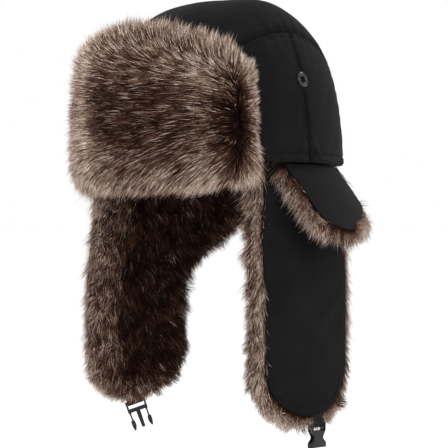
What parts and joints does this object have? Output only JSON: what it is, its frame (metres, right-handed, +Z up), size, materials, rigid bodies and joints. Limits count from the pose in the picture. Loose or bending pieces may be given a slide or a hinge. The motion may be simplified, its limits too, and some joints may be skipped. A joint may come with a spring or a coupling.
{
  "type": "trapper hat",
  "caption": "Padded winter hat with a fur-faced front flap folded up, hanging fur-lined ear flaps with rear tabs, a neck flap and a side-release chin buckle.",
  "frame": {"origin": "centre of the head opening, in the plane of the crown's hem", "axes": "+Z up through the crown, -Y the way the wearer faces, +X the wearer's left"},
  "size_m": [0.2624, 0.2879, 0.3938],
  "materials": {
    "shell_cloth": "satin",
    "wadding": "matte",
    "lining_cloth": "satin",
    "fur": "matte",
    "eyelet_metal": "gloss",
    "webbing": "matte",
    "buckle_plastic": "satin"
  },
  "bodies": {
    "crown": {"crown_top_panel": "shell_cloth", "left_front_side_panel": "shell_cloth", "left_rear_side_panel": "shell_cloth", "right_front_side_panel": "shell_cloth", "right_rear_side_panel": "shell_cloth", "crown_wadding": "wadding", "crown_lining": "lining_cloth", "left_eyelet": "eyelet_metal", "left_eyelet_washer": "eyelet_metal", "right_eyelet": "eyelet_metal", "right_eyelet_washer": "eyelet_metal"},
    "front_flap": {"front_flap_shell": "shell_cloth", "front_flap_wadding": "wadding", "front_flap_fur": "fur"},
    "left_ear_flap": {"left_ear_flap_shell": "shell_cloth", "left_ear_flap_wadding": "wadding", "left_ear_flap_fur": "fur", "left_rear_tab_shell": "shell_cloth", "left_rear_tab_wadding": "wadding", "left_rear_tab_fur": "fur"},
    "right_ear_flap": {"right_ear_flap_shell": "shell_cloth", "right_ear_flap_wadding": "wadding", "right_ear_flap_fur": "fur", "right_rear_tab_shell": "shell_cloth", "right_rear_tab_wadding": "wadding", "right_rear_tab_fur": "fur"},
    "neck_flap": {"neck_flap_shell": "shell_cloth", "neck_flap_wadding": "wadding", "neck_flap_fur": "fur"},
    "left_strap": {"left_strap": "webbing"},
    "right_strap": {"right_strap": "webbing"},
    "buckle_socket": {"buckle_socket": "buckle_plastic"},
    "buckle_plug": {"buckle_plug_frame": "buckle_plastic"},
    "plug_front_arm": {"buckle_plug_front_arm": "buckle_plastic"},
    "plug_rear_arm": {"buckle_plug_rear_arm": "buckle_plastic"}
  },
  "joints": [
    {"name": "front_flap_fold", "type": "hinge", "parent": "crown", "child": "front_flap", "pos_m": [0, -0.095, -0.008], "axis": [1, 0, 0], "range_deg": [0, 120]},
    {"name": "left_ear_flap_fold", "type": "hinge", "parent": "crown", "child": "left_ear_flap", "pos_m": [0.1009, 0, -0.0006], "axis": [0, -1, 0], "range_deg": [0, 150]},
    {"name": "right_ear_flap_fold", "type": "hinge", "parent": "crown", "child": "right_ear_flap", "pos_m": [-0.1009, 0, -0.0006], "axis": [0, 1, 0], "range_deg": [0, 150]},
    {"name": "neck_flap_fold", "type": "hinge", "parent": "crown", "child": "neck_flap", "pos_m": [0, 0.1169, -0.0006], "axis": [1, 0, 0], "range_deg": [0, 150]},
    {"name": "left_strap_swing", "type": "hinge", "parent": "left_ear_flap", "child": "left_strap", "pos_m": [0.11065, -0.0035, -0.2183], "axis": [0, -1, 0], "range_deg": [0, 70]},
    {"name": "right_strap_swing", "type": "hinge", "parent": "right_ear_flap", "child": "right_strap", "pos_m": [-0.11077, -0.009, -0.2063], "axis": [0, 1, 0], "range_deg": [0, 70]},
    {"name": "buckle_socket_pivot", "type": "hinge", "parent": "left_strap", "child": "buckle_socket", "pos_m": [0.11065, -0.0035, -0.2253], "axis": [0, 1, 0], "range_deg": [-60, 60]},
    {"name": "buckle_plug_pivot", "type": "hinge", "parent": "right_strap", "child": "buckle_plug", "pos_m": [-0.10725, -0.00583, -0.21947], "axis": [0.6992, 0.6296, 0.3387], "range_deg": [-60, 60]},
    {"name": "plug_front_arm_press", "type": "hinge", "parent": "buckle_plug", "child": "plug_front_arm", "pos_m": [-0.11058, -0.00882, -0.23065], "axis": [-0.6691, 0.7431, 0], "range_deg": [-9, 0], "stiffness_Nm_per_rad": 0.02},
    {"name": "plug_rear_arm_press", "type": "hinge", "parent": "buckle_plug", "child": "plug_rear_arm", "pos_m": [-0.09939, 0.00125, -0.22523], "axis": [-0.6691, 0.7431, 0], "range_deg": [0, 9], "stiffness_Nm_per_rad": 0.02}
  ]
}
